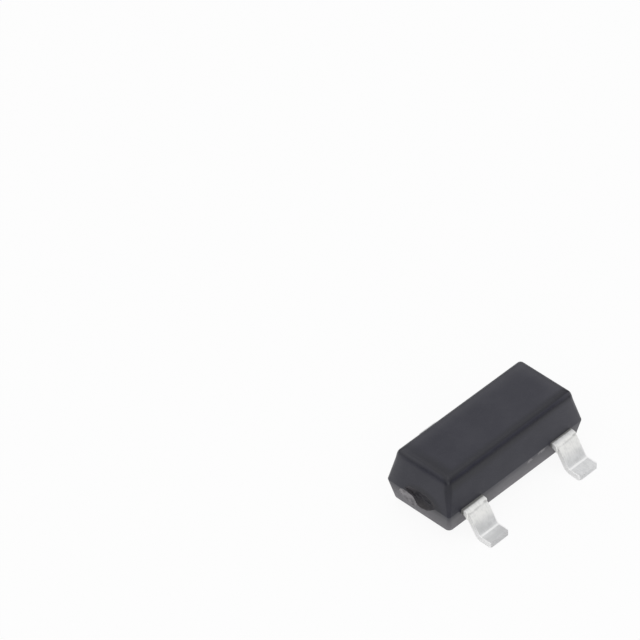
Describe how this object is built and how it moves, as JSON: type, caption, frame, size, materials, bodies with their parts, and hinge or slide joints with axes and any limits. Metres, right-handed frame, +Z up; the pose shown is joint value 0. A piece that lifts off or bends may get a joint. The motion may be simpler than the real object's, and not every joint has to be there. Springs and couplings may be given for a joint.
{
  "type": "schottky diode",
  "caption": "Surface-mount diode: black moulded body with drafted walls, gull-wing leads, and a die bonded to the lead frame inside.",
  "frame": {"origin": "middle of the package on the plane of the lead soles, which is the board's surface", "axes": "+X along the body away from the broken gate, +Y towards the side with the single lead, +Z up from the board to the top face"},
  "size_m": [0.0028, 0.0024, 0.001],
  "materials": {
    "mould_compound": "matt black moulding compound with a faint mottle",
    "tinned_lead": "matt tin over a copper alloy strip",
    "silicon": "sawn silicon with a smooth top",
    "solder": "dull solder",
    "contact_metal": "bright evaporated metal",
    "wire_metal": "bright drawn gold-coloured wire"
  },
  "bodies": {
    "root": {"mould_body": "mould_compound", "lead_anode": "tinned_lead", "lead_spare": "tinned_lead", "lead_cathode": "tinned_lead", "die": "silicon", "die_solder": "solder", "anode_contact": "contact_metal", "bond_wire": "wire_metal"}
  },
  "joints": []
}
